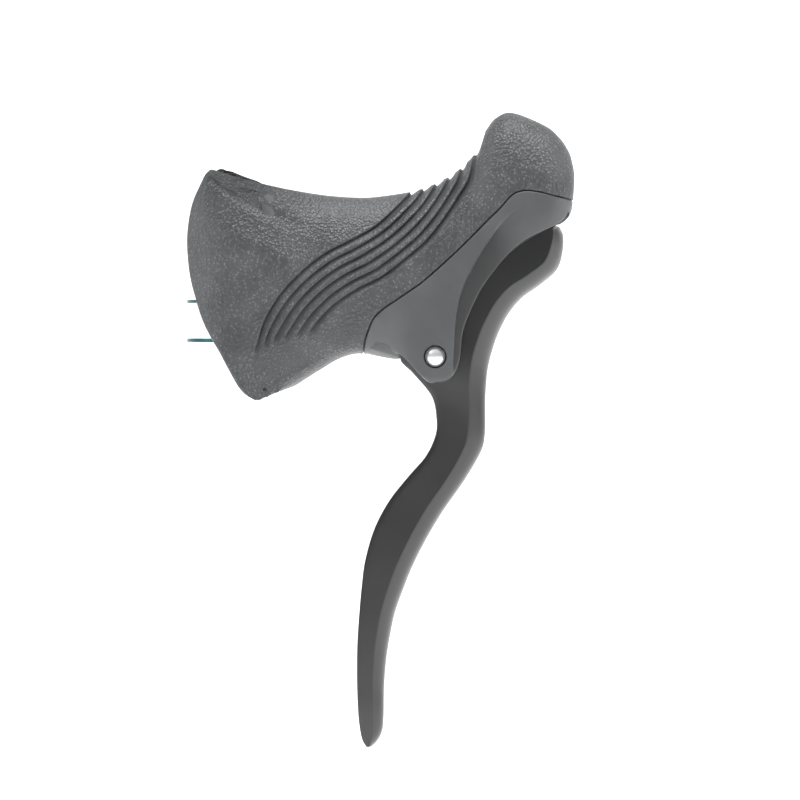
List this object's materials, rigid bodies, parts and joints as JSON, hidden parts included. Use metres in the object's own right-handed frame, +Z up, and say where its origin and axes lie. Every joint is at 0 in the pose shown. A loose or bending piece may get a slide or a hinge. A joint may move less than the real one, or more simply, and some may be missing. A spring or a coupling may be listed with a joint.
{
  "type": "brake shift lever",
  "caption": "Drop-bar brake lever with a grooved rubber hood, a moulded bracket, a bar clamp band and a hinged curved lever blade.",
  "frame": {"origin": "centre of the handlebar clamp, on the bar's axis", "axes": "+Z up along the bar's axis, +X forward to the hood's nose, +Y to the rider's left"},
  "size_m": [0.0968, 0.0336, 0.1588],
  "materials": {
    "hood_rubber": "matte, pebbled",
    "bracket_moulding": "matte, fine grain",
    "blade_paint": "satin black",
    "pin_steel": "polished",
    "zinc_steel": "zinc plated",
    "bolt_steel": "satin",
    "spring_steel": "drawn wire",
    "nylon": "satin",
    "brass": "satin",
    "pad_rubber": "matte"
  },
  "bodies": {
    "bracket": {"bracket_body": "bracket_moulding", "rubber_hood": "hood_rubber", "clamp_washer": "zinc_steel", "pivot_pin": "pin_steel", "pivot_lock_screw": "bolt_steel", "spring_sleeve": "nylon", "return_spring": "spring_steel", "lever_stop_pad": "pad_rubber", "housing_ferrule": "brass", "cable_liner": "nylon"},
    "lever": {"lever_blade": "blade_paint", "pivot_bush_left": "nylon", "pivot_bush_right": "nylon", "anchor_bush_left": "nylon", "anchor_bush_right": "nylon"},
    "anchor": {"cable_anchor": "pin_steel"},
    "bolt": {"clamp_bolt": "bolt_steel", "bolt_keeper_ring": "spring_steel"},
    "clamp": {"clamp_band": "zinc_steel", "clamp_nut": "zinc_steel"}
  },
  "joints": [
    {"name": "lever_pivot", "type": "hinge", "parent": "bracket", "child": "lever", "pos_m": [0.049, 0, -0.009], "axis": [0, 1, 0], "range_deg": [0, 26], "stiffness_Nm_per_rad": 0.35, "springref_deg": -28.65, "deforming": ["return_spring"]},
    {"name": "anchor_turn", "type": "hinge", "parent": "lever", "child": "anchor", "pos_m": [0.0605, 0, 0.0153], "axis": [0, 1, 0], "range_deg": [-26, 0]},
    {"name": "clamp_bolt_turn", "type": "hinge", "parent": "bracket", "child": "bolt", "pos_m": [0, 0, 0], "axis": [0.9703, 0, 0.2419], "range_deg": [0, 540]},
    {"name": "clamp_slide", "type": "slide", "parent": "bracket", "child": "clamp", "axis": [-0.9703, 0, -0.2419], "range_m": [0, 0.0015]}
  ],
  "couplings": [
    {"joint": "anchor_turn", "follows": "lever_pivot", "ratio": -1},
    {"joint": "clamp_bolt_turn", "follows": "clamp_slide", "rad_per_m": 6283}
  ]
}
